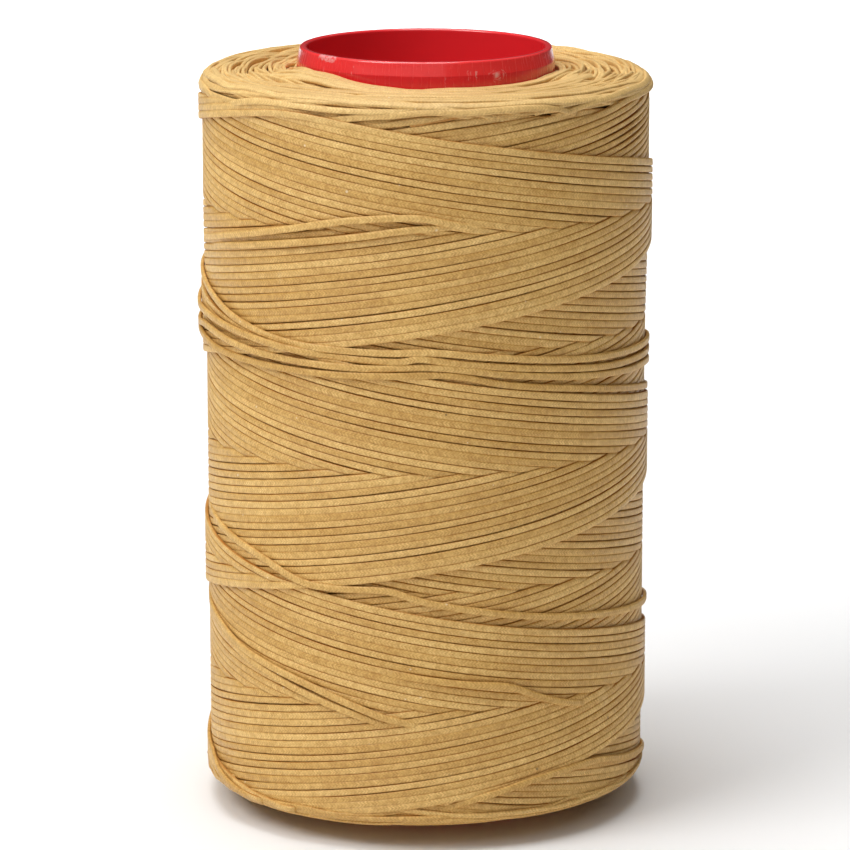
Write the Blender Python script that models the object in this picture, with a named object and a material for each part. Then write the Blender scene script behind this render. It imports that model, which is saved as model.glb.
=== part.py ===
"""A spool of flat waxed sewing thread, cross-wound on a moulded plastic core tube.

The spool stands on its tube's lower end: the origin is the centre of that end and +Z runs up the tube.
The thread is one continuous length. It is held here as the bulk of the winding, the last full layers over
it, and the last pass, which lies on top of those layers from one end of the winding to the other.
"""

import math

import bmesh
import bpy
from mathutils import Matrix

MM = 0.001

# Driving dimensions
TUBE_LENGTH = 170 * MM
TUBE_OUTER_RADIUS = 28.4 * MM
TUBE_WALL = 2.2 * MM
WINDING_RADIUS = 49.4 * MM
WINDING_HEIGHT = 158.8 * MM
THREAD_WIDTH = 1.6 * MM
THREAD_THICKNESS = 0.85 * MM
TURNS_PER_PASS = 3
LAST_PASS_START = math.radians(-120)

# Details of the tube's ends
LIP_ROUNDING = 0.8 * MM
LIP_TAPER_HEIGHT = 3.4 * MM
LIP_TAPER = 0.3 * MM

# Details of the winding
CLEARANCE = 0.35 * MM
OUTER_LAYERS_THICKNESS = 4 * THREAD_THICKNESS + 0.4 * MM
SHOULDER_ROUNDING = 2.6 * MM
INNER_EDGE_ROUNDING = 0.5 * MM
END_CROWN = 0.7 * MM
THREAD_EDGE_ROUNDING = 0.25 * MM

# How finely round shapes are drawn
TUBE_STEPS = 96
WINDING_STEPS = 80
LAST_PASS_STEPS_PER_TURN = 48
CORNER_STEPS = 4
LONG_FACE_STEPS = 6

MIDDLE = TUBE_LENGTH / 2
WINDING_TOP = MIDDLE + WINDING_HEIGHT / 2


def clear_scene():
    for thing in list(bpy.data.objects):
        bpy.data.objects.remove(thing, do_unlink=True)


def finish(name, colour, roughness):
    """A plastic or fibre surface of one colour."""
    material = bpy.data.materials.new(name)
    material.use_nodes = True
    shader = material.node_tree.nodes["Principled BSDF"]
    shader.inputs["Base Color"].default_value = (*colour, 1)
    shader.inputs["Roughness"].default_value = roughness
    shader.inputs["Metallic"].default_value = 0
    return material


def rounded_corner(r, z, radius, start_degrees, steps=CORNER_STEPS):
    """A quarter round as (r, z) points, about the centre (r, z), going anticlockwise from start_degrees."""
    points = []
    for i in range(steps + 1):
        angle = math.radians(start_degrees + 90 * i / steps)
        points.append((r + radius * math.cos(angle), z + radius * math.sin(angle)))
    return points


def mirrored_profile(upper_half):
    """A closed outline from its upper half, outer side first, mirrored about the middle of the tube."""
    return upper_half + [(r, TUBE_LENGTH - z) for r, z in reversed(upper_half)]


def outline(form, profile):
    """A closed loop of edges in the plane through the Z axis, from (r, z) points."""
    corners = [form.verts.new((r, 0, z)) for r, z in profile]
    for here, there in zip(corners, corners[1:] + corners[:1]):
        form.edges.new((here, there))
    return corners


def solid(name, form, material):
    """A named object from a closed form, with its faces turned outwards."""
    if form.calc_volume(signed=True) < 0:
        bmesh.ops.reverse_faces(form, faces=form.faces)
    mesh = bpy.data.meshes.new(name)
    form.to_mesh(mesh)
    form.free()
    mesh.materials.append(material)
    mesh.shade_smooth()
    mesh.set_sharp_from_angle(angle=math.radians(35))
    body = bpy.data.objects.new(name, mesh)
    bpy.context.scene.collection.objects.link(body)
    return body


def turned(name, profile, steps, material):
    """A ring turned about the Z axis from a closed outline of (r, z) points."""
    form = bmesh.new()
    outline(form, profile)
    bmesh.ops.spin(
        form,
        geom=form.verts[:] + form.edges[:],
        cent=(0, 0, 0),
        axis=(0, 0, 1),
        angle=math.tau,
        steps=steps,
        use_merge=True,
    )
    return solid(name, form, material)


def core_tube(material):
    """A straight tube whose ends taper a little and finish in a rounded lip with a narrow flat land."""
    lip_outer = TUBE_OUTER_RADIUS - LIP_TAPER
    bore = TUBE_OUTER_RADIUS - TUBE_WALL
    lip_centre = TUBE_LENGTH - LIP_ROUNDING
    upper_half = [(TUBE_OUTER_RADIUS, TUBE_LENGTH - LIP_TAPER_HEIGHT)]
    upper_half += rounded_corner(lip_outer - LIP_ROUNDING, lip_centre, LIP_ROUNDING, 0)
    upper_half += rounded_corner(bore + LIP_ROUNDING, lip_centre, LIP_ROUNDING, 90)
    return turned("core_tube", mirrored_profile(upper_half), TUBE_STEPS, material)


def inner_layers(material):
    """The bulk of the thread, from the tube out to the last layers, with slightly crowned ends."""
    inside = TUBE_OUTER_RADIUS + CLEARANCE
    outside = WINDING_RADIUS - OUTER_LAYERS_THICKNESS - CLEARANCE
    shoulder = WINDING_TOP + THREAD_WIDTH / 4
    upper_half = []
    for i in range(LONG_FACE_STEPS + 1):
        share = i / LONG_FACE_STEPS
        r = outside + (inside - outside) * share
        upper_half.append((r, shoulder + END_CROWN * math.sin(math.pi * share)))
    return turned("thread_inner_layers", mirrored_profile(upper_half), WINDING_STEPS, material)


def outer_layers(material):
    """The last full layers of crossing passes: a sleeve with rounded shoulders."""
    inside = WINDING_RADIUS - OUTER_LAYERS_THICKNESS
    top = WINDING_TOP + THREAD_WIDTH / 2
    outer_corner = rounded_corner(
        WINDING_RADIUS - SHOULDER_ROUNDING, top - SHOULDER_ROUNDING, SHOULDER_ROUNDING, 0
    )
    inner_corner = rounded_corner(
        inside + INNER_EDGE_ROUNDING, top - INNER_EDGE_ROUNDING, INNER_EDGE_ROUNDING, 90
    )
    profile = mirrored_profile(outer_corner + inner_corner)
    return turned("thread_outer_layers", profile, WINDING_STEPS, material)


def last_pass(material):
    """The last pass of the flat thread, running down and round over the finished layers."""
    steps = TURNS_PER_PASS * LAST_PASS_STEPS_PER_TURN
    half_step = math.pi / LAST_PASS_STEPS_PER_TURN
    inside = (WINDING_RADIUS + CLEARANCE) / math.cos(half_step)
    start = WINDING_TOP - SHOULDER_ROUNDING
    drop = WINDING_HEIGHT - 2 * SHOULDER_ROUNDING
    near = inside + THREAD_EDGE_ROUNDING
    far = inside + THREAD_THICKNESS - THREAD_EDGE_ROUNDING
    reach = THREAD_WIDTH / 2 - THREAD_EDGE_ROUNDING
    section = []
    for r, z, turn in ((far, reach, 0), (near, reach, 90), (near, -reach, 180), (far, -reach, 270)):
        section += rounded_corner(r, start + z, THREAD_EDGE_ROUNDING, turn, steps=1)
    form = bmesh.new()
    form.faces.new(outline(form, section))
    bmesh.ops.rotate(form, verts=form.verts, cent=(0, 0, 0), matrix=Matrix.Rotation(LAST_PASS_START, 3, "Z"))
    bmesh.ops.spin(
        form,
        geom=form.faces[:],
        cent=(0, 0, 0),
        axis=(0, 0, 1),
        dvec=(0, 0, -drop / steps),
        angle=math.tau * TURNS_PER_PASS,
        steps=steps,
    )
    return solid("thread_last_pass", form, material)


def main():
    clear_scene()
    red_plastic = finish("red_plastic", (0.62, 0.012, 0.022), 0.32)
    waxed_thread = finish("waxed_thread", (0.62, 0.39, 0.14), 0.55)
    core_tube(red_plastic)
    inner_layers(waxed_thread)
    outer_layers(waxed_thread)
    last_pass(waxed_thread)


main()
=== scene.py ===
"""A spool of flat waxed thread, cross-wound on a red core tube, on a pale studio floor.

The thread is laid as the winding machine lays it: three turns up the tube, a turn-round at the end, three
turns down, each double pass beside the one before. Rising and falling passes cross over and under each
other by their age. Lengths are in millimetres until a piece is made, and angles run from the front (-Y),
positive towards +X.
"""

import math

import bmesh
import bpy
import numpy as np
from mathutils import Matrix, Vector


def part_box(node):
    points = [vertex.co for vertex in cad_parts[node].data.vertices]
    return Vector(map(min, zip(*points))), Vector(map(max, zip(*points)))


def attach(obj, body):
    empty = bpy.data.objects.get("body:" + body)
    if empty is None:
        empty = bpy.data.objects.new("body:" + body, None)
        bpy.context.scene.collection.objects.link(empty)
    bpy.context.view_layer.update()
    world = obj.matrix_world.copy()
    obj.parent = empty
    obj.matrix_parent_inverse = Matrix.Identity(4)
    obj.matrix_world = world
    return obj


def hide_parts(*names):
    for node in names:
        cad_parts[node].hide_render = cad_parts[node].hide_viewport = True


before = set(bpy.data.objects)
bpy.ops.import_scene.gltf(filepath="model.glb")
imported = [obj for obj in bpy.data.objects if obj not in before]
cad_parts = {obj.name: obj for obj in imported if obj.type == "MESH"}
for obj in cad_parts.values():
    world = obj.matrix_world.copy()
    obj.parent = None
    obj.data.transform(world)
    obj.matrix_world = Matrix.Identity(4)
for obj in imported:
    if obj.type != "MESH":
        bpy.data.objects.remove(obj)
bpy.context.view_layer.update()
MM = 0.001

# The package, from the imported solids
TUBE_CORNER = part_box("core_tube")[1] / MM
TUBE_RADIUS = TUBE_CORNER.x
TUBE_LENGTH = TUBE_CORNER.z
TUBE_WALL = 2.2
BORE_RADIUS = TUBE_RADIUS - TUBE_WALL
LIP_HEIGHT = 3.0
LIP_TAPER = 0.65
STRANDS_PROUD = 0.5
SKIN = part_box("thread_outer_layers")[1].x / MM + STRANDS_PROUD
FACE_DIP = 0.2
FACE_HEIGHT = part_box("thread_outer_layers")[1].z / MM - FACE_DIP

# The thread and the way it is wound
WIDTH = 1.6
THICKNESS = 0.85
DOUBLE_PASSES = 32
TURNS = 3
LAST_ANGLE = math.radians(-31)
TURN_LOW = 5.3
TURN_HIGH = 162.4
TRAVEL = TURN_HIGH - TURN_LOW
PASS_LENGTH = math.tau * TURNS * SKIN
CLIMB = TRAVEL / PASS_LENGTH
PITCH = TRAVEL / TURNS / DOUBLE_PASSES / math.sqrt(1 + CLIMB ** 2)
TURN_ROUNDING = 9.0
SLIP_LENGTH = 22
FIXED_LENGTH = 25
SHOULDER = 3.4
UPPER_SWELL = 0.5
SHOULDER_HIGH = FACE_HEIGHT - SHOULDER
SHOULDER_LOW = TUBE_LENGTH - SHOULDER_HIGH
RINGS_PER_PASS = 600
SECTION_SIDES = 10
LOOSE_WIDTH = WIDTH * 0.97

# Where rising strands part a little near the upper end
PARTED_GAP = 0.30
PARTED_DEGREES = 64
PARTED_HEIGHT = 154.5

random = np.random.default_rng(485)

# How far each double pass slipped at its lower and upper turn-round, and how pale its thread is
SLIP = random.normal(0, 0.55, (DOUBLE_PASSES, 2))
PASS_TINT = random.uniform(0, 1, DOUBLE_PASSES)
# A rising and a falling pass each run on this share past the turn-round where they meet
OVERLAP = 0.0012


# ---------------------------------------------------------------- strands

def straight_strand(rings):
    """A closed flat-oval strand with rings 1 apart along X, 2 wide along Y and 2 thick along Z."""
    form = bmesh.new()
    bmesh.ops.create_circle(form, cap_ends=True, segments=SECTION_SIDES, radius=1)
    bmesh.ops.rotate(form, verts=form.verts, matrix=Matrix.Rotation(math.pi / SECTION_SIDES, 3, "Z"))
    for corner in form.verts:
        x, y = corner.co.x, corner.co.y
        corner.co = (0, math.copysign(abs(x) ** 0.5, x), math.copysign(abs(y) ** 0.5, y))
    bmesh.ops.spin(
        form, geom=form.faces[:], axis=(1, 0, 0), cent=(0, 0, 0), dvec=(1, 0, 0), angle=0, steps=rings - 1
    )
    if form.calc_volume(signed=True) < 0:
        bmesh.ops.reverse_faces(form, faces=form.faces)
    mesh = bpy.data.meshes.new("straight_strand")
    form.to_mesh(mesh)
    form.free()
    coords = np.empty(len(mesh.vertices) * 3)
    mesh.vertices.foreach_get("co", coords)
    return mesh, coords.reshape(-1, 3)


class Bundle:
    """Strands gathered into one mesh, each keeping where it lay on the straight thread as 'laid'."""

    def __init__(self):
        self.form = bmesh.new()

    def add(self, straight, places, along, across, through, tint):
        mesh = straight.copy()
        mesh.vertices.foreach_set("co", (places * MM).ravel())
        laid = mesh.attributes.new("laid", "FLOAT_VECTOR", "POINT")
        laid.data.foreach_set("vector", np.column_stack((along, across, through)).ravel())
        shade = mesh.attributes.new("tint", "FLOAT", "POINT")
        shade.data.foreach_set("value", np.full(len(places), tint))
        self.form.from_mesh(mesh)
        bpy.data.meshes.remove(mesh)

    def piece(self, name, material, *replaced):
        mesh = bpy.data.meshes.new(name)
        self.form.to_mesh(mesh)
        self.form.free()
        return dress(name, mesh, material, "waxed_thread", *replaced)


def dress(name, mesh, material, slot, *replaced):
    """A finished piece of the spool from its mesh."""
    mesh.materials.append(material)
    mesh.shade_smooth()
    thing = bpy.data.objects.new(name, mesh)
    bpy.context.scene.collection.objects.link(thing)
    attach(thing, "root")
    if replaced:
        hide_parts(*replaced)
    return thing


def on_package(angle, height, depth):
    """Places on the winding: height runs up the side and on over the rounded shoulders."""
    over = np.clip((height - SHOULDER_HIGH) / SHOULDER, 0, math.pi / 2)
    under = np.clip((SHOULDER_LOW - height) / SHOULDER, 0, math.pi / 2)
    inward = np.maximum(height - SHOULDER_HIGH - SHOULDER * math.pi / 2, 0)
    inward += np.maximum(SHOULDER_LOW - height - SHOULDER * math.pi / 2, 0)
    depth = depth - UPPER_SWELL * smooth_step((height - 100) / 35)
    reach = np.maximum(SHOULDER - depth, 0.1)
    radius = SKIN - SHOULDER + reach * np.cos(over - under) - inward
    straight = np.clip(height, SHOULDER_LOW, SHOULDER_HIGH)
    level = straight + reach * np.sin(over - under)
    side = (over == 0) & (under == 0)
    radius = np.where(side, SKIN - depth, radius)
    level += upper_wave(angle, radius) * smooth_step((height - 146) / 16)
    level += lower_wave(angle) * smooth_step((24 - height) / 16)
    return np.column_stack((radius * np.sin(angle), -radius * np.cos(angle), level))


def hump(angle, middle, spread):
    """A smooth bump round the package, 1 at middle degrees and near 0 beyond spread degrees."""
    aside = (np.degrees(angle) - middle + 180) % 360 - 180
    return np.exp(-((aside / spread) ** 2))


def upper_wave(angle, radius):
    """How far the uneven upper end stands above its true plane."""
    swell = 2.0 * hump(angle, -52, 24) + 0.9 * hump(angle, 80, 25) + 0.6 * hump(angle, 170, 50)
    return swell * smooth_step((41 - radius) / 9) - 0.1 - 0.3 * (1 + np.sin(angle))


def lower_wave(angle):
    """How far the uneven lower end stands above its true plane."""
    return 0.25 + 0.5 * np.sin(angle + 0.2)


def cross_angle(angle, height, rising):
    """The angle at which the pass through a place meets the winding's lower end."""
    turn = math.tau * TURNS * (height - TURN_LOW) / TRAVEL
    return angle - turn if rising else angle + turn


def age(angle, height, rising):
    """How long ago the pass through a place was laid: 0 for the last one up to 1 for the oldest."""
    return ((LAST_ANGLE - cross_angle(angle, height, rising)) / math.tau) % 1


def smooth_step(x):
    x = np.clip(x, 0, 1)
    return x * x * (3 - 2 * x)


def stack_depth(own, crossing, met):
    """Depth of a strand's middle. own and crossing are ages; met is the age at which it goes under."""
    ahead = (crossing - met + 0.5) % 1 - 0.5
    blend = 0.42 / DOUBLE_PASSES
    saw = ahead + 1 - smooth_step((ahead + blend) / (2 * blend))
    return THICKNESS * (0.5 + own + met + saw)


def top_depth(angle, height):
    """Depth of the uppermost thread's outer side."""
    return THICKNESS * (age(angle, height, True) + age(angle, height, False))


def wander(count, size, waves=((310, 0.5), (130, 0.3), (47, 0.2))):
    """Gentle seeded waves, one row for each of count strands, as a function of distance along them."""
    phases = random.uniform(0, math.tau, (count, len(waves)))

    def at(row, distance):
        total = np.zeros_like(distance)
        for (length, share), phase in zip(waves, phases[row % count]):
            total = total + share * np.sin(math.tau * distance / length + phase)
        return size * total

    return at


def wind_passes(rising, name, material, groups, *replaced):
    """All passes of one direction, each lying edge to edge with its neighbours."""
    straight, coords = straight_strand(RINGS_PER_PASS)
    centre = np.linspace(-OVERLAP, 1 + OVERLAP, RINGS_PER_PASS)
    share = centre[np.rint(coords[:, 0]).astype(int)]
    border = wander(DOUBLE_PASSES, 0.16)
    gap = wander(DOUBLE_PASSES, 0.05, ((260, 0.6), (83, 0.4)))
    way = 1 if rising else -1
    per_group = DOUBLE_PASSES // groups
    for group in range(groups):
        bundle = Bundle()
        for index in range(group * per_group, (group + 1) * per_group):
            own = (index + 0.5) / DOUBLE_PASSES
            start = LAST_ANGLE - math.tau * own
            from_low = centre * PASS_LENGTH
            from_high = PASS_LENGTH - from_low
            height = TURN_LOW + TRAVEL * centre
            height += CLIMB * (np.sqrt(from_low ** 2 + TURN_ROUNDING ** 2) - from_low)
            height -= CLIMB * (np.sqrt(from_high ** 2 + TURN_ROUNDING ** 2) - from_high)
            height += SLIP[index, 0] * np.exp(-(from_low / SLIP_LENGTH) ** 2)
            height += SLIP[index, 1] * np.exp(-(from_high / SLIP_LENGTH) ** 2)
            lean = way * np.gradient(height, from_low)
            run = 1 / np.sqrt(1 + lean ** 2)
            distance = share * PASS_LENGTH
            to_end = np.minimum(distance, PASS_LENGTH - distance)
            free = 1 - np.exp(-np.maximum(to_end, 0) / FIXED_LENGTH)
            newer = border(index - 1, distance) * free + PITCH / 2 * way
            older = border(index, distance) * free - PITCH / 2 * way
            slack_newer = np.clip(gap(index - 1, distance) * free, 0.012, 1) / 2
            slack_older = np.clip(gap(index, distance) * free, 0.012, 1) / 2
            if rising:
                parted = PARTED_GAP * hump(start + distance / SKIN, PARTED_DEGREES, 11)
                parted *= np.exp(-((TURN_LOW + TRAVEL * share - PARTED_HEIGHT) / 5) ** 2)
                slack_newer += parted
                slack_older += parted
            upper = np.maximum(newer, older) - (slack_newer if rising else slack_older)
            lower = np.minimum(newer, older) + (slack_older if rising else slack_newer)
            aside = (upper + lower) / 2 + (upper - lower) / 2 * coords[:, 1]
            lean_here = np.interp(share, centre, lean * run)
            run_here = np.interp(share, centre, run)
            angle = start + way * distance / SKIN - aside * lean_here / SKIN
            level = np.interp(share, centre, height) + aside * run_here
            met = (index if rising else index + 1) / DOUBLE_PASSES
            depth = stack_depth(own, age(angle, level, not rising), met)
            near_turn = np.exp(-(np.maximum(to_end, 0) / 7) ** 2)
            depth += way * THICKNESS / 2 * near_turn
            depth -= THICKNESS / 2 * coords[:, 2]
            places = on_package(angle, level, depth)
            across = coords[:, 1] * WIDTH / 2
            through = coords[:, 2] * THICKNESS / 2
            bundle.add(straight, places, distance + 37 * index, across, through, PASS_TINT[index])
        bundle.piece(f"{name}_{group + 1}", material, *(replaced if group == 0 else ()))
    bpy.data.meshes.remove(straight)


def smooth_route(points, count):
    """A smooth curve through given points, as evenly counted rows."""
    points = np.array(points, float)
    knots = np.arange(len(points))
    padded = np.vstack((2 * points[0] - points[1], points, 2 * points[-1] - points[-2]))
    at = np.linspace(0, len(points) - 1, count)
    left = np.minimum(at.astype(int), len(points) - 2)
    t = (at - knots[left])[:, None]
    p0, p1, p2, p3 = (padded[left + i] for i in range(4))
    bend = 2 * p0 - 5 * p1 + 4 * p2 - p3
    twist = 3 * (p1 - p2) + p3 - p0
    return p1 + t / 2 * (p2 - p0 + t * (bend + t * twist))


def loose_strand(bundle, route):
    """A strand lying free on the winding. Its route holds degrees, height and lift over what is below."""
    turn = abs(route[-1][0] - route[0][0])
    rings = int(turn * SKIN * math.pi / 180 / 1.4)
    straight, coords = straight_strand(rings)
    rows = smooth_route(route, rings)
    angle = np.radians(rows[:, 0])
    rise = np.gradient(rows[:, 1], angle * SKIN)
    run = 1 / np.sqrt(1 + rise ** 2)
    which = np.rint(coords[:, 0]).astype(int)
    aside = coords[:, 1] * LOOSE_WIDTH / 2
    here = angle[which] - aside * (rise * run)[which] / SKIN
    level = rows[which, 1] + aside * run[which]
    past_side = np.maximum(rows[:, 1] - SHOULDER_HIGH, SHOULDER_LOW - rows[:, 1])
    on_end = smooth_step((past_side - 0.3) / 1.5)
    under = top_depth(angle, rows[:, 1]) * (1 - on_end) + 1.0 * on_end
    reach = 4
    ease = np.ones(2 * reach + 1) / (2 * reach + 1)
    under = np.convolve(np.pad(under, reach, mode="edge"), ease, mode="valid")
    depth = under[which] - rows[which, 2] - THICKNESS / 2 * (1 + coords[:, 2])
    step = np.hypot(np.gradient(angle) * SKIN, np.gradient(rows[:, 1]))
    along = np.cumsum(step)[which] + random.uniform(0, 400)
    places = on_package(here, level, depth)
    # Its edges catch the light, so it is laid a little inside the painted edge shade of the bedded strands
    bundle.add(straight, places, along, aside * 0.8, coords[:, 2] * THICKNESS / 5, random.uniform())
    bpy.data.meshes.remove(straight)


# Strands that slipped or were laid last, each as (degrees from the front, height, lift)
LOOSE_ROUTES = (
    ((-170, 128, -2.0), (-140, 125, -0.5), (-105, 122.6, -0.1), (-85, 120.7, 0.05), (-70, 117.7, 0.15),
     (-57, 114.7, 0.3), (-42, 112.1, 0.1), (-28, 111.1, 0.0), (-11, 110.8, 0.1), (2, 111.1, 0.3),
     (17, 109.6, 0.1), (42, 107.1, 0.0), (64, 105.9, 0.1), (82, 105.3, 0.2), (100, 104, 0.1),
     (130, 100, -0.3), (160, 96, -2.0)),
    ((-165, 121, -2.0), (-130, 118, -0.4), (-100, 114.7, 0.0), (-85, 113.5, 0.1), (-69, 113.1, 0.2),
     (-42, 110.9, 0.1), (-25, 109.5, 0.0), (-8, 109.0, 0.1), (-1, 109.7, 0.3), (10, 108.4, 0.1),
     (32, 106.1, 0.0), (53, 104.2, 0.1), (74, 103.3, 0.2), (95, 102.1, 0.1), (125, 99, -0.3),
     (150, 96, -2.0)),
    ((-160, 116, -2.0), (-130, 113, -0.4), (-100, 109.7, 0.0), (-85, 109.3, 0.1), (-72, 110.4, 0.2),
     (-53, 108.9, 0.3), (-37, 107.8, 0.1), (-14, 107.4, 0.0), (3, 107.8, 0.1), (21, 105.6, 0.1),
     (42, 103.4, 0.0), (64, 101.7, 0.1), (84, 100.6, 0.2), (110, 97, -0.2), (140, 93, -2.0)),
    ((-150, 112, -2.0), (-120, 110, -0.3), (-98, 108.3, 0.0), (-80, 107.7, 0.1), (-58, 106.1, 0.2),
     (-32, 105.6, 0.1), (-11, 105.9, 0.0), (6, 106.0, 0.0), (21, 103.4, 0.0), (42, 100.7, 0.0),
     (64, 97.6, 0.0), (95, 93.1, -0.3), (125, 89, -2.0)),
    ((-95, 70.5, -1.5), (-70, 66.6, -0.3), (-48, 63.0, 0.0), (-34, 59.3, 0.1), (-24, 58.4, 0.1),
     (-10, 58.6, 0.1), (1, 56.1, 0.1), (27, 51.9, 0.1), (52, 48.8, 0.1), (75, 46.4, 0.2), (92, 45.0, 0.2),
     (120, 41, -0.3), (150, 37, -2.0)),
    ((-100, 49.5, -1.6), (-80, 46.2, -0.4), (-68, 44.2, 0.1), (-55, 40.9, 0.2), (-32, 36.4, 0.2),
     (-19, 32.9, 0.1), (-8, 29.9, -0.2), (4, 28.0, -1.8)),
    ((-96, 47.6, -1.6), (-78, 44.4, -0.5), (-66, 42.2, 0.0), (-50, 38.3, 0.1), (-33, 34.4, 0.1),
     (-20, 31.2, -0.1), (-10, 28.6, -1.0), (2, 26.6, -1.9)),
    ((-20, 41.8, -1.6), (-5, 39.8, -0.5), (10, 38.1, 0.1), (21, 36.9, 0.3), (30, 33.6, 0.3),
     (39, 31.0, 0.0), (50, 29.0, -1.8)),
    ((-95, 127.0, -1.6), (-75, 129.6, -0.4), (-53, 133.2, 0.1), (-36, 136.2, 0.2), (-19, 139.2, 0.3),
     (-3, 140.2, 0.2), (6, 138.8, -0.2), (22, 136.0, -1.8)),
    ((-80, 126.8, -1.6), (-60, 129.8, -0.3), (-41, 132.5, 0.1), (-19, 135.5, 0.3), (-4, 137.6, 0.2),
     (14, 138.6, -1.8)),
    ((-150, 26.0, -1.8), (-115, 20.0, -0.3), (-90, 14.2, 0.0), (-75, 12.0, 0.1), (-62, 8.8, 0.1),
     (-48, 6.4, 0.2), (-30, 5.0, 0.1), (-10, 5.2, 0.0), (15, 8.2, -1.8)),
    ((0, 8.0, -1.6), (14, 11.8, 0.0), (30, 15.0, 0.2), (48, 15.6, 0.3), (64, 13.0, 0.2), (84, 10.4, 0.1),
     (110, 6.6, -1.8)),
)


def lay_loose_strands(material):
    bundle = Bundle()
    for route in LOOSE_ROUTES:
        loose_strand(bundle, route)
    bundle.piece("loose_last_strands", material, "thread_last_pass")


# Strands lying flat on the ends: rings bedded under the rest, then rows as (height past the shoulder's
# start, strands in the row), then the strands at the front, from one height to another
RING_SPACING = 1.45
RING_LIFT = -1.3
SHOULDER_ROWS = ((1.7, 9), (2.8, 9), (3.9, 9), (5.0, 9), (6.1, 8))
FRONT_HEIGHTS = (7.2, 23, 0.85)


def end_turns(upper, name, material):
    """An end of the winding: bedded rings, then slipped turn-rounds lying flat in long, loose curves."""
    bundle = Bundle()
    end_height = SHOULDER_HIGH + SHOULDER * math.pi / 2 + SKIN - SHOULDER - TUBE_RADIUS - 1.2

    def lay(middle, half, level_at, lift_at, count):
        route = []
        for place in np.linspace(-1, 1, count):
            level = min(level_at(place), end_height)
            route.append((middle + half * place, level if upper else TUBE_LENGTH - level, lift_at(place)))
        loose_strand(bundle, route)

    for height in np.arange(SHOULDER_HIGH + 0.4, end_height, RING_SPACING):
        phase, size = random.uniform(0, math.tau), random.uniform(0.1, 0.4)
        lay(
            random.uniform(0, 360), 181,
            lambda place: height + size * math.sin(math.tau * place + phase),
            lambda place: RING_LIFT, 25,
        )
    for height, count in SHOULDER_ROWS:
        first = random.uniform(0, 360)
        for turn in range(count):
            middle = first + 360 * (turn + random.uniform(-0.25, 0.25)) / count
            slope, lift = random.uniform(-1.0, 1.0), random.uniform(-0.45, 0.05)
            top = SHOULDER_HIGH + height + random.normal(0, 0.3)
            sway = random.normal(0, 0.22, 9)
            lay(
                middle, random.uniform(26, 44),
                lambda place: top + slope * place - 2.6 * place ** 4 + sway[round(4 + 4 * place)],
                lambda place: lift - 1.2 * abs(place) ** 5, 9,
            )
    for height in np.arange(*FRONT_HEIGHTS):
        for _ in range(2):
            top = SHOULDER_HIGH + height + random.normal(0, 0.3)
            slope, lift = random.uniform(-2.2, 2.2), random.uniform(-0.35, 0.1)
            sway = random.normal(0, 0.25, 9)
            lay(
                random.uniform(-48, 52), random.uniform(24, 48),
                lambda place: top + slope * place - 1.5 * place ** 4 + sway[round(4 + 4 * place)],
                lambda place: lift - 1.3 * abs(place) ** 5, 9,
            )
    bundle.piece(name, material)


# Turn-rounds standing on edge: how far apart their circles are, and how much of a circle each one takes
EDGE_SPACING = 0.9
EDGE_SHARE = 17


def edge_turns(upper, name, material):
    """The turn-rounds of the inner layers, standing on edge on an end of the winding."""
    bundle = Bundle()
    rings = 25
    straight, coords = straight_strand(rings)
    which = np.rint(coords[:, 0]).astype(int)
    for radius in np.arange(TUBE_RADIUS + EDGE_SPACING, SKIN - 2.2, EDGE_SPACING):
        count = round(math.tau * radius / EDGE_SHARE)
        first = random.uniform(0, math.tau)
        for turn in range(count):
            half = random.uniform(13, 19)
            middle = first + math.tau * (turn + random.uniform(-0.2, 0.2)) / count
            offset = np.linspace(-half, half, rings)
            angle = middle + offset / radius
            drift = 0.5 * np.tanh(offset / 5) * random.choice((-1, 1, 1))
            distance = radius + drift + random.normal(0, 0.08)
            edge = np.clip((distance - (SKIN - SHOULDER)) / SHOULDER, 0, 0.95)
            fall = 1.9 * (offset / half) ** 2 + random.uniform(-0.7, 0.2) + 2.4 * hump(angle, 2, 40)
            level = FACE_HEIGHT - SHOULDER * (1 - np.sqrt(1 - edge ** 2)) - WIDTH / 2 - fall
            level += upper_wave(angle, distance) if upper else -lower_wave(angle)
            tilt = np.radians(random.normal(8, 7)) + np.arcsin(edge) * 0.8
            along = coords[:, 0] * (2 * half / rings) + random.uniform(0, 400)
            side = coords[:, 1] * WIDTH / 2
            out = coords[:, 2] * THICKNESS / 2
            reach = distance[which] - side * np.sin(tilt[which]) + out * np.cos(tilt[which])
            height = level[which] + side * np.cos(tilt[which]) + out * np.sin(tilt[which])
            if not upper:
                height = TUBE_LENGTH - height
            reach = np.maximum(reach, TUBE_RADIUS + 0.1)
            places = np.column_stack((reach * np.sin(angle[which]), -reach * np.cos(angle[which]), height))
            bundle.add(straight, places, along, out, side / 2, random.uniform())
    if not upper:
        bmesh.ops.reverse_faces(bundle.form, faces=bundle.form.faces)
    bpy.data.meshes.remove(straight)
    bundle.piece(name, material)


# ---------------------------------------------------------------- turned pieces

def arc(r, z, radius, start, steps):
    """A quarter round as (r, z) points, anticlockwise from start degrees."""
    angles = np.radians(start + np.linspace(0, 90, steps + 1))
    return [(r + radius * math.cos(a), z + radius * math.sin(a)) for a in angles]


def turned(name, profile, steps):
    """The mesh of a closed ring turned about Z from (r, z) points in millimetres."""
    form = bmesh.new()
    corners = [form.verts.new((r * MM, 0, z * MM)) for r, z in profile]
    for here, there in zip(corners, corners[1:] + corners[:1]):
        form.edges.new((here, there))
    bmesh.ops.spin(
        form, geom=form.verts[:] + form.edges[:], cent=(0, 0, 0), axis=(0, 0, 1), angle=math.tau,
        steps=steps, use_merge=True,
    )
    if form.calc_volume(signed=True) < 0:
        bmesh.ops.reverse_faces(form, faces=form.faces)
    mesh = bpy.data.meshes.new(name)
    form.to_mesh(mesh)
    form.free()
    return mesh


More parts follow.
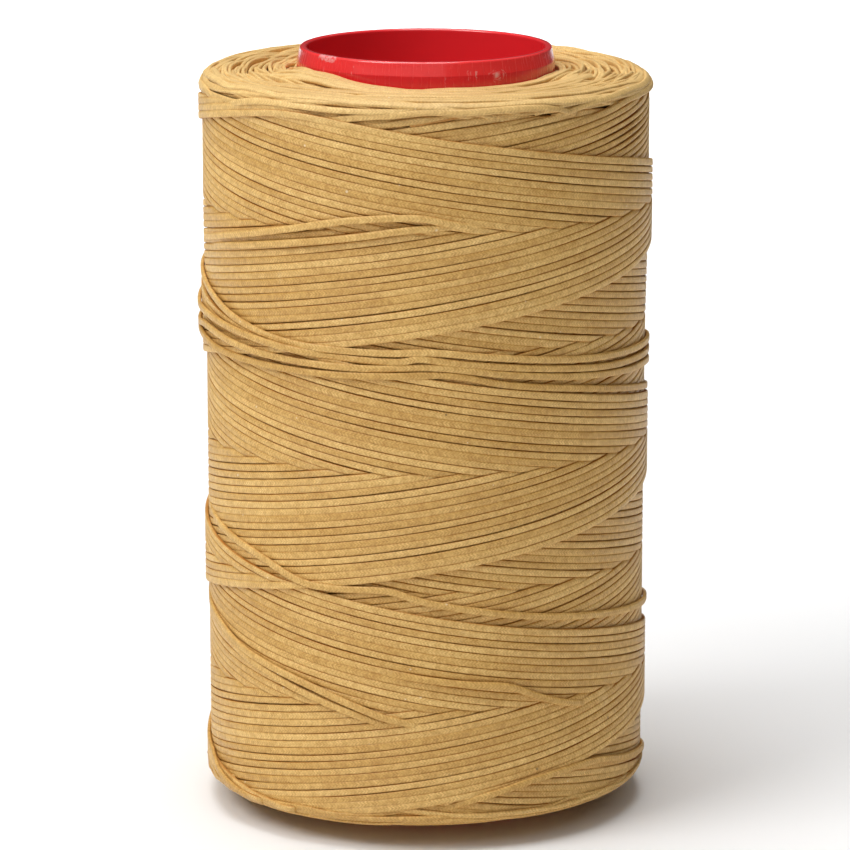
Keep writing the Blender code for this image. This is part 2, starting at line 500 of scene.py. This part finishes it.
def make_tube(material):
    """The moulded tube: a lip with rounded edges, a slight taper below it, then the straight wall."""
    lip_start = TUBE_LENGTH - LIP_HEIGHT
    lip = TUBE_RADIUS - LIP_TAPER
    outside, inside = 0.55, 0.5
    upper = [(TUBE_RADIUS, z) for z in np.linspace(90, lip_start - 0.15, 8)]
    upper += [(TUBE_RADIUS - 0.04, lip_start + 0.15)]
    upper += arc(lip - outside, TUBE_LENGTH - outside, outside, 0, 10)
    upper += arc(BORE_RADIUS + inside, TUBE_LENGTH - inside, inside, 90, 10)
    upper += [(BORE_RADIUS, z) for z in np.linspace(TUBE_LENGTH - 1.2, 90, 8)]
    lower = [(r, TUBE_LENGTH - z) for r, z in reversed(upper)]
    mesh = turned("moulded_core_tube", upper + lower, 192)
    dress("moulded_core_tube", mesh, material, "core_plastic", "core_tube")


def make_inner_thread(material):
    """The bulk of the winding, which shows only down the gaps between strands."""
    low = TURN_LOW + WIDTH
    high = TUBE_LENGTH - low
    inner = TUBE_RADIUS + 0.3
    outer = SKIN - 4 * THICKNESS - 0.25
    corner = 2
    profile = [(outer, z) for z in np.linspace(low + corner, high - corner, 12)]
    profile += arc(outer - corner, high - corner, corner, 0, 4)[1:]
    profile += [(inner, high), (inner, low)]
    profile += arc(outer - corner, low + corner, corner, 270, 4)[:-1]
    mesh = turned("inner_thread", profile, 160)
    dress("inner_thread", mesh, material, "waxed_thread", "thread_inner_layers")


# ---------------------------------------------------------------- materials

class Nodes:
    """Short forms for building a node tree."""

    def __init__(self, tree):
        self.tree = tree

    def add(self, kind, **settings):
        made = self.tree.nodes.new("ShaderNode" + kind)
        for key, value in settings.items():
            setattr(made, key, value)
        return made

    def feed(self, socket, value):
        if isinstance(value, bpy.types.NodeSocket):
            self.tree.links.new(value, socket)
        else:
            socket.default_value = value

    def maths(self, operation, *values, clamp=False):
        made = self.add("Math", operation=operation, use_clamp=clamp)
        for socket, value in zip(made.inputs, values):
            self.feed(socket, value)
        return made.outputs[0]

    def ramp(self, value, low, high, to_low=0.0, to_high=1.0):
        made = self.add("MapRange", interpolation_type="SMOOTHSTEP")
        for socket, given in zip(made.inputs, (value, low, high, to_low, to_high)):
            self.feed(socket, given)
        return made.outputs[0]

    def noise(self, place, scale, detail=2.0, roughness=0.5):
        made = self.add("TexNoise")
        self.feed(made.inputs["Vector"], place)
        made.inputs["Scale"].default_value = scale
        made.inputs["Detail"].default_value = detail
        made.inputs["Roughness"].default_value = roughness
        return made.outputs["Fac"]

    def mix(self, factor, first, second, blend="MIX"):
        made = self.add("Mix", data_type="RGBA", blend_type=blend)
        self.feed(made.inputs[0], factor)
        self.feed(made.inputs[6], first)
        self.feed(made.inputs[7], second)
        return made.outputs[2]

    def warm_shade(self, value):
        """White at 1, going to brown rather than grey below it."""
        made = self.add("CombineColor")
        for socket, fall in zip(made.inputs[:3], (0.8, 1.15, 1.8)):
            self.feed(socket, self.maths("POWER", value, fall))
        return made.outputs[0]

    def group(self, tree, **values):
        made = self.add("Group", node_tree=tree)
        for name, value in values.items():
            self.feed(made.inputs[name], value)
        return made.outputs


def new_group(name, takes, gives):
    """An empty node group with its sockets, and its inner ends."""
    tree = bpy.data.node_groups.new(name, "ShaderNodeTree")
    for socket, kind in takes:
        tree.interface.new_socket(socket, in_out="INPUT", socket_type="NodeSocket" + kind)
    for socket, kind in gives:
        tree.interface.new_socket(socket, in_out="OUTPUT", socket_type="NodeSocket" + kind)
    nodes = Nodes(tree)
    return tree, nodes, tree.nodes.new("NodeGroupInput"), tree.nodes.new("NodeGroupOutput")


def flat_braid_group():
    """Fine slanted stitches in columns, as on a flattened tubular braid, from the laid position."""
    tree, n, start, end = new_group(
        "flat_braid", (("Laid", "Vector"), ("Stitch", "Float"), ("Column", "Float")), (("Height", "Float"),)
    )
    split = n.add("SeparateXYZ")
    n.feed(split.inputs[0], start.outputs["Laid"])
    along = n.maths("DIVIDE", split.outputs[0], start.outputs["Stitch"])
    across = n.maths("DIVIDE", split.outputs[1], start.outputs["Column"])
    slant = n.maths("PINGPONG", across, 1.0)
    phase = n.maths("MULTIPLY", n.maths("ADD", along, n.maths("MULTIPLY", slant, 0.8)), math.tau)
    stitch = n.maths("MULTIPLY_ADD", n.maths("SINE", phase), 0.5, 0.5)
    column = n.maths("ABSOLUTE", n.maths("SINE", n.maths("MULTIPLY", across, math.pi)))
    ridge = n.maths("MULTIPLY_ADD", n.maths("POWER", column, 0.5), 0.6, 0.4)
    n.feed(end.inputs["Height"], n.maths("MULTIPLY", n.maths("POWER", stitch, 0.6), ridge))
    return tree


def speck_group():
    """Sparse small marks: 1 on a mark, 0 elsewhere."""
    tree, n, start, end = new_group(
        "specks", (("Place", "Vector"), ("Scale", "Float"), ("Amount", "Float")), (("Mask", "Float"),)
    )
    cells = n.add("TexVoronoi", feature="F1")
    n.feed(cells.inputs["Vector"], start.outputs["Place"])
    n.feed(cells.inputs["Scale"], start.outputs["Scale"])
    split = n.add("SeparateColor")
    n.feed(split.inputs[0], cells.outputs["Color"])
    chosen = n.maths("LESS_THAN", split.outputs[0], start.outputs["Amount"])
    size = n.maths("MULTIPLY_ADD", split.outputs[1], 0.22, 0.05)
    near = n.maths("LESS_THAN", cells.outputs["Distance"], size)
    n.feed(end.inputs["Mask"], n.maths("MULTIPLY", chosen, near))
    return tree


def new_material(name, **shader_values):
    material = bpy.data.materials.new(name)
    material.use_nodes = True
    nodes = Nodes(material.node_tree)
    shader = material.node_tree.nodes["Principled BSDF"]
    for socket, value in shader_values.items():
        shader.inputs[socket.replace("_", " ")].default_value = value
    return material, nodes, shader


# The braid's stitch: how long it is, and how wide a column of them
STITCH = 0.80
COLUMN = 0.51


def thread_material(braid, specks):
    """Golden tan braid, waxed: satin, with painted shade down its edges, and paler and deeper lengths."""
    material, n, shader = new_material(
        "golden_waxed_braid", Coat_Roughness=0.38, Coat_IOR=1.45, IOR=1.45, Specular_IOR_Level=0.45
    )
    laid = n.add("Attribute", attribute_name="laid").outputs["Vector"]
    tint = n.add("Attribute", attribute_name="tint").outputs["Fac"]
    place = n.add("TexCoord").outputs["Object"]
    stitches = n.group(braid, Laid=laid, Stitch=STITCH, Column=COLUMN)["Height"]
    split = n.add("SeparateXYZ")
    n.feed(split.inputs[0], laid)
    lengthwise = n.noise(laid, 0.09, 3.0)
    fibres = n.noise(laid, 0.95, 3.0, 0.7)
    patches = n.noise(place, 38.0, 4.0, 0.55)
    tone = n.maths("MULTIPLY_ADD", tint, 0.42, n.maths("MULTIPLY", lengthwise, 0.5))
    tone = n.maths("ADD", tone, n.maths("MULTIPLY", n.maths("SUBTRACT", patches, 0.5), 0.7))
    tone = n.ramp(tone, 0.1, 0.85)
    colour = n.mix(tone, (0.570, 0.320, 0.078, 1), (0.740, 0.467, 0.152, 1))
    shown = n.ramp(n.noise(laid, 0.35, 3.0, 0.6), 0.35, 0.68, 0.12, 0.46)
    # Painted shade: the stitches' relief darkens the colour in the hollows between stitches, with the
    # fibres' grain
    stitch_shade_and_grain = n.maths("MULTIPLY_ADD", n.maths("SUBTRACT", stitches, 0.48), shown, 1.0)
    stitch_shade_and_grain = n.maths("MULTIPLY", stitch_shade_and_grain, n.ramp(fibres, 0.25, 0.75, 0.80, 1.20))
    colour = n.mix(1.0, colour, n.warm_shade(stitch_shade_and_grain), "MULTIPLY")
    pale = n.ramp(n.noise(place, 90.0, 5.0, 0.7), 0.62, 0.78, 0.0, 0.35)
    colour = n.mix(pale, colour, (0.78, 0.58, 0.28, 1))
    level = n.add("SeparateXYZ")
    n.feed(level.inputs[0], place)
    # Painted sheen: the thread is made paler towards the top, where the light from above falls on it
    painted_top_sheen = n.ramp(level.outputs[2], 156 * MM, 166 * MM, 0.0, 0.3)
    colour = n.mix(painted_top_sheen, colour, (0.80, 0.60, 0.30, 1))
    # Painted shade: the strands' edges and undersides are darkened to brown, for the shade down the gaps
    # between them
    edge = n.ramp(n.maths("ABSOLUTE", split.outputs[1]), 0.63, 0.77)
    below = n.ramp(split.outputs[2], 0.05, -0.3)
    depth = n.ramp(n.noise(laid, 0.035, 2.0), 0.36, 0.62, 0.2, 0.9)
    painted_groove_shade = n.maths("MAXIMUM", n.maths("MULTIPLY", edge, depth), n.maths("MULTIPLY", below, 0.6))
    colour = n.mix(painted_groove_shade, colour, (0.42, 0.135, 0.001, 1))
    smudge = n.ramp(n.noise(place, 70.0, 3.0, 0.6), 0.74, 0.8, 0.0, 0.35)
    colour = n.mix(smudge, colour, (0.22, 0.12, 0.06, 1))
    marks = n.group(specks, Place=place, Scale=700.0, Amount=0.002)["Mask"]
    colour = n.mix(n.maths("MULTIPLY", marks, 0.6), colour, (0.10, 0.05, 0.02, 1))
    wax = n.group(specks, Place=place, Scale=900.0, Amount=0.012)["Mask"]
    colour = n.mix(n.maths("MULTIPLY", wax, 0.5), colour, (0.86, 0.76, 0.55, 1))
    n.feed(shader.inputs["Base Color"], colour)
    polish = n.ramp(patches, 0.3, 0.7, 0.46, 0.6)
    n.feed(shader.inputs["Roughness"], n.maths("MAXIMUM", polish, n.maths("MULTIPLY", painted_groove_shade, 0.95)))
    wet = n.ramp(patches, 0.35, 0.7, 0.25, 0.06)
    n.feed(shader.inputs["Coat Weight"], n.maths("MULTIPLY", wet, n.maths("SUBTRACT", 1.0, painted_groove_shade)))
    bump = n.add("Bump")
    bump.inputs["Strength"].default_value = 0.9
    bump.inputs["Distance"].default_value = 0.045 * MM
    n.feed(bump.inputs["Height"], n.maths("MULTIPLY_ADD", fibres, 1.2, stitches))
    n.feed(shader.inputs["Normal"], bump.outputs[0])
    return material


def inner_thread_material():
    """Thread in the shade between strands: brown, ridged by the layers."""
    material, n, shader = new_material("shaded_inner_thread", Roughness=0.7)
    place = n.add("TexCoord").outputs["Object"]
    waves = n.add("TexWave", wave_type="BANDS", bands_direction="Z")
    n.feed(waves.inputs["Vector"], place)
    waves.inputs["Scale"].default_value = 95
    waves.inputs["Distortion"].default_value = 1.5
    colour = n.mix(waves.outputs["Fac"], (0.17, 0.078, 0.014, 1), (0.40, 0.21, 0.05, 1))
    n.feed(shader.inputs["Base Color"], colour)
    bump = n.add("Bump")
    bump.inputs["Strength"].default_value = 0.8
    bump.inputs["Distance"].default_value = 0.4 * MM
    n.feed(bump.inputs["Height"], waves.outputs["Fac"])
    n.feed(shader.inputs["Normal"], bump.outputs[0])
    return material


def scar_group():
    """A mark about a point of the tube, squeezed as asked: 1 inside it, falling to 0 outside."""
    tree, n, start, end = new_group(
        "scar",
        (
            ("Place", "Vector"), ("Middle", "Vector"), ("Flatten", "Vector"),
            ("Near", "Float"), ("Far", "Float"),
        ),
        (("Mask", "Float"),),
    )
    aside = n.add("VectorMath", operation="SUBTRACT")
    n.feed(aside.inputs[0], start.outputs["Place"])
    n.feed(aside.inputs[1], start.outputs["Middle"])
    squeezed = n.add("VectorMath", operation="MULTIPLY")
    n.feed(squeezed.inputs[0], aside.outputs[0])
    n.feed(squeezed.inputs[1], start.outputs["Flatten"])
    length = n.add("VectorMath", operation="LENGTH")
    n.feed(length.inputs[0], squeezed.outputs[0])
    mask = n.ramp(length.outputs["Value"], start.outputs["Far"], start.outputs["Near"])
    n.feed(end.inputs["Mask"], mask)
    return tree


# Marks on the tube, as (degrees from the front, height): the gate mark and its dot, the rub on the lip,
# and short scratches with their strength. Their outlines wander by RAGGED, so they are set half of it over.
RAGGED = 1.6
GATE = (32.8, 166.6)
GATE_DOT = (32.4, 166.7)
RUB = (-50.5, 169.7)
SCRATCHES = (
    (18.3, 167.6, 0.35), (19.6, 167.4, 0.25), (22.4, 167.2, 0.6), (-34, 168.2, 0.4), (-51, 167, 0.2),
    (8, 165.6, 0.2), (-41, 166.4, 0.2),
)


def on_wall(degrees, height):
    """A point on the tube's outer wall, in metres, moved by the mean of the ragged wander."""
    angle = math.radians(degrees)
    wall = (TUBE_RADIUS * math.sin(angle), -TUBE_RADIUS * math.cos(angle), height)
    return tuple((part + RAGGED / 2) * MM for part in wall)


def tube_material(specks, scar):
    """Glossy red moulding, scuffed at the lip, with flow lines and a gate mark left by the mould."""
    material, n, shader = new_material("scuffed_red_plastic", IOR=1.46, Coat_Roughness=0.08)
    place = n.add("TexCoord").outputs["Object"]
    split = n.add("SeparateXYZ")
    n.feed(split.inputs[0], place)
    turn = n.maths("ARCTAN2", split.outputs[0], n.maths("MULTIPLY", split.outputs[1], -1.0))
    unrolled = n.add("CombineXYZ")
    n.feed(unrolled.inputs[0], n.maths("MULTIPLY", turn, TUBE_RADIUS))
    n.feed(unrolled.inputs[2], n.maths("MULTIPLY", split.outputs[2], 90.0))
    streaks = n.noise(unrolled.outputs[0], 1.6, 4.0, 0.7)
    cloud = n.noise(place, 45.0, 3.0)
    grain = n.noise(place, 2200.0, 3.0, 0.6)
    colour = n.mix(cloud, (0.78, 0.018, 0.024, 1), (0.88, 0.026, 0.034, 1))
    reach = n.add("VectorMath", operation="LENGTH")
    flat = n.add("VectorMath", operation="MULTIPLY")
    n.feed(flat.inputs[0], place)
    n.feed(flat.inputs[1], (1, 1, 0))
    n.feed(reach.inputs[0], flat.outputs[0])
    outer = n.ramp(reach.outputs["Value"], (TUBE_RADIUS - 1.2) * MM, (TUBE_RADIUS - 0.7) * MM)
    streaks = n.maths("MULTIPLY", streaks, outer)
    colour = n.mix(n.ramp(streaks, 0.55, 0.75, 0.0, 0.04), colour, (0.86, 0.24, 0.24, 1))
    # Painted highlight on the lip's taper where the front light reflects, painted shade on the wall below
    lip_start = TUBE_LENGTH - LIP_HEIGHT
    at_lip = n.ramp(split.outputs[2], (lip_start - 0.1) * MM, (lip_start + 0.1) * MM)
    painted_shade_below_lip = n.maths("MULTIPLY", outer, n.maths("SUBTRACT", 1.0, at_lip))
    painted_highlight_on_lip = n.maths("MULTIPLY", outer, at_lip)
    colour = n.mix(n.maths("MULTIPLY", painted_shade_below_lip, 0.35), colour, (0.52, 0.004, 0.010, 1))
    colour = n.mix(n.maths("MULTIPLY", painted_highlight_on_lip, 0.5), colour, (0.92, 0.055, 0.050, 1))
    pale = (0.90, 0.50, 0.50, 1)
    ragged = n.add("TexNoise")
    n.feed(ragged.inputs["Vector"], place)
    ragged.inputs["Scale"].default_value = 800
    bent = n.add("VectorMath", operation="MULTIPLY_ADD")
    n.feed(bent.inputs[0], ragged.outputs["Color"])
    bent.inputs[1].default_value = (RAGGED * MM, RAGGED * MM, RAGGED * MM)
    n.feed(bent.inputs[2], place)

    def near(spot, flatten, inside, outside):
        values = dict(Place=bent.outputs[0], Middle=on_wall(*spot), Flatten=flatten)
        return n.group(scar, Near=inside * MM, Far=outside * MM, **values)["Mask"]

    rub = n.maths("MULTIPLY", near(RUB, (1, 1, 2.9), 2.7, 3.5), n.ramp(grain, 0.38, 0.55))
    colour = n.mix(n.maths("MULTIPLY", rub, 0.6), colour, pale)
    wide = (1, 1, 1.9)
    ring = n.maths("SUBTRACT", near(GATE, wide, 1.5, 1.8), near(GATE, wide, 1.1, 1.4))
    halo = n.maths("SUBTRACT", near(GATE, wide, 2.4, 2.7), near(GATE, wide, 2.0, 2.3))
    broken = n.noise(place, 900.0, 2.0)
    ring = n.maths("MULTIPLY", ring, n.ramp(broken, 0.42, 0.56))
    halo = n.maths("MULTIPLY", halo, n.ramp(broken, 0.5, 0.6))
    gate = n.maths("MULTIPLY", n.maths("MAXIMUM", ring, halo), 0.5)
    gate = n.maths("MAXIMUM", gate, near(GATE_DOT, (1, 1, 1.2), 0.2, 1.0), clamp=True)
    colour = n.mix(n.maths("MULTIPLY", gate, 0.85), colour, pale)
    for degrees, height, strength in SCRATCHES:
        line = near((degrees, height), (3.2, 3.2, 0.42), 0.3, 0.9)
        line = n.maths("MULTIPLY", line, n.ramp(n.noise(place, 1100.0, 2.0), 0.38, 0.6, 0.3, 1.0))
        colour = n.mix(n.maths("MULTIPLY", line, strength), colour, pale)
    dust = n.group(specks, Place=place, Scale=700.0, Amount=0.035)["Mask"]
    colour = n.mix(n.maths("MULTIPLY", dust, 0.45), colour, (0.86, 0.42, 0.42, 1))
    dirt = n.group(specks, Place=place, Scale=400.0, Amount=0.006)["Mask"]
    colour = n.mix(n.maths("MULTIPLY", dirt, 0.8), colour, (0.05, 0.02, 0.02, 1))
    n.feed(shader.inputs["Base Color"], colour)
    worn = n.maths("MAXIMUM", n.ramp(streaks, 0.45, 0.75), rub)
    n.feed(shader.inputs["Roughness"], n.maths("MULTIPLY_ADD", worn, 0.04, 0.26))
    n.feed(shader.inputs["Coat Weight"], n.ramp(cloud, 0.3, 0.7, 0.55, 0.8))
    bump = n.add("Bump")
    bump.inputs["Strength"].default_value = 0.3
    bump.inputs["Distance"].default_value = 0.06 * MM
    height = n.maths("ADD", n.maths("MULTIPLY", streaks, 0.05), n.maths("MULTIPLY", rub, grain))
    n.feed(bump.inputs["Height"], n.maths("ADD", height, n.maths("MULTIPLY", gate, 1.5)))
    n.feed(shader.inputs["Normal"], bump.outputs[0])
    return material


def floor_material():
    material, n, shader = new_material("pale_floor", Roughness=0.85)
    place = n.add("TexCoord").outputs["Object"]
    cloud = n.noise(place, 3.0, 3.0)
    n.feed(shader.inputs["Base Color"], n.mix(cloud, (0.90, 0.90, 0.90, 1), (0.93, 0.93, 0.93, 1)))
    return material


# ---------------------------------------------------------------- studio

# Lights as (name, place, width, depth, watts), all aimed at the spool's middle. The washes hang level over
# the floor round it, as (x, y, watts).
SPOOL_MIDDLE = (0, 0, 0.09)
LIGHTS = (
    ("key_left", (-0.85, -0.55, 1.15), 0.7, 0.7, 9.3),
    ("front_bank", (-0.50, -1.02, 1.10), 2.9, 1.6, 6.4),
    ("top", (-0.1, 0.0, 1.3), 0.8, 0.8, 12.0),
)
WASHES = ((0, 1.6, 16), (1.7, 0, 3.5), (0, -1.7, 9), (-1.7, 0, 10))
WASH_SIZE = 1.7
WASH_HEIGHT = 1.0
WASH_SPREAD = math.radians(110)
FLOOR_REACH = 3.0
ROOM_LIGHT = 0.06

CAMERA_PLACE = (0, -0.9603, 0.3025)
CAMERA_DIP = math.radians(12.8)
LENS = 186.2


def make_studio():
    """A pale floor, soft lights at the left, in front and above, washes over the floor, and the camera."""
    form = bmesh.new()
    bmesh.ops.create_grid(form, x_segments=1, y_segments=1, size=FLOOR_REACH)
    mesh = bpy.data.meshes.new("floor")
    form.to_mesh(mesh)
    form.free()
    mesh.materials.append(floor_material())
    floor = bpy.data.objects.new("floor", mesh)
    bpy.context.scene.collection.objects.link(floor)

    world = bpy.data.worlds.new("studio")
    bpy.context.scene.world = world
    world.use_nodes = True
    room = world.node_tree.nodes["Background"]
    room.inputs["Color"].default_value = (1, 1, 1, 1)
    room.inputs["Strength"].default_value = ROOM_LIGHT
    for values in LIGHTS:
        add_light(*values)
    for side, (x, y, watts) in enumerate(WASHES):
        name = f"floor_wash_{side + 1}"
        wash = add_light(name, (x, y, WASH_HEIGHT), WASH_SIZE, WASH_SIZE, watts, (x, y, 0))
        wash.spread = WASH_SPREAD
    bpy.context.scene.view_settings.view_transform = "Standard"

    lens = bpy.data.cameras.new("camera")
    lens.lens = LENS
    lens.sensor_width = 36
    lens.clip_end = 20
    lens.shift_x = -0.0010
    camera = bpy.data.objects.new("camera", lens)
    camera.location = CAMERA_PLACE
    camera.rotation_euler = (math.pi / 2 - CAMERA_DIP, 0, 0)
    bpy.context.scene.collection.objects.link(camera)
    bpy.context.scene.camera = camera


def add_light(name, place, width, depth, watts, aim=SPOOL_MIDDLE):
    """A soft oblong light, aimed at the spool's middle unless another aim is given."""
    light = bpy.data.lights.new(name, "AREA")
    light.shape = "RECTANGLE"
    light.size = width
    light.size_y = depth
    light.energy = watts
    lamp = bpy.data.objects.new(name, light)
    lamp.location = place
    lamp.rotation_euler = (Vector(aim) - Vector(place)).to_track_quat("-Z", "Y").to_euler()
    bpy.context.scene.collection.objects.link(lamp)
    return light


# ---------------------------------------------------------------- the spool

braid = flat_braid_group()
specks = speck_group()
waxed = thread_material(braid, specks)
make_studio()
make_tube(tube_material(specks, scar_group()))
make_inner_thread(inner_thread_material())
wind_passes(True, "rising_passes", waxed, 4, "thread_outer_layers")
wind_passes(False, "falling_passes", waxed, 4)
lay_loose_strands(waxed)
end_turns(True, "upper_end_turns", waxed)
end_turns(False, "lower_end_turns", waxed)
edge_turns(True, "upper_edge_turns", waxed)
edge_turns(False, "lower_edge_turns", waxed)
